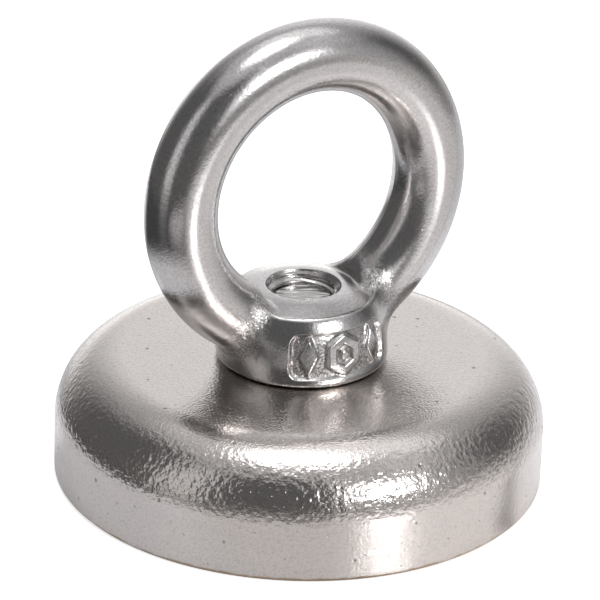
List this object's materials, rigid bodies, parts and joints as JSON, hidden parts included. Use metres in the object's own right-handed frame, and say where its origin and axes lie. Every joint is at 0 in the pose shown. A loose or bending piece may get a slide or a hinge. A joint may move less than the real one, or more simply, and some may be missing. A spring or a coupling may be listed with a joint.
{
  "type": "magnet fishing magnet",
  "caption": "Round steel pot magnet with a polished lifting eye nut clamped on its back by a countersunk socket screw.",
  "frame": {"origin": "centre of the pot's open rim, in the plane the magnet grips with", "axes": "+Z along the pot's axis from the magnet face to the eye, +X across the eye's ring in its own plane, -Y out of the marked side of the boss"},
  "size_m": [0.036, 0.036, 0.0351],
  "materials": {
    "pot_plating": "warm nickel plate over pressed steel, orange peel on the big rounded edge, satin on top and side",
    "magnet_plating": "bright nickel plate on a sintered neodymium ring, lightly scuffed",
    "adhesive": "hard amber epoxy film",
    "potting": "black epoxy, slightly sunk and glossy",
    "bush_plating": "nickel plated turned steel with fine turning rings",
    "screw_steel": "plain stainless steel, sawn rough at the thread end",
    "eye_steel": "tumble polished stainless steel, rough as forged where the limbs join the boss and in the sunk panel"
  },
  "bodies": {
    "pot": {"steel_pot": "pot_plating", "ring_magnet": "magnet_plating", "magnet_adhesive": "adhesive", "outer_potting_ring": "potting", "centre_bush": "bush_plating", "inner_potting_ring": "potting"},
    "screw": {"countersunk_screw": "screw_steel"},
    "eye": {"eye_nut": "eye_steel"}
  },
  "joints": [
    {"name": "eye_lift", "type": "slide", "parent": "pot", "child": "eye", "axis": [0, 0, 1], "range_m": [0, 0.0048]},
    {"name": "screw_turn", "type": "hinge", "parent": "pot", "child": "screw", "pos_m": [0, 0, 0.005], "axis": [0, 0, -1], "range_deg": [0, 2165]}
  ],
  "couplings": [
    {"joint": "screw_turn", "follows": "eye_lift", "rad_per_m": 7854}
  ]
}
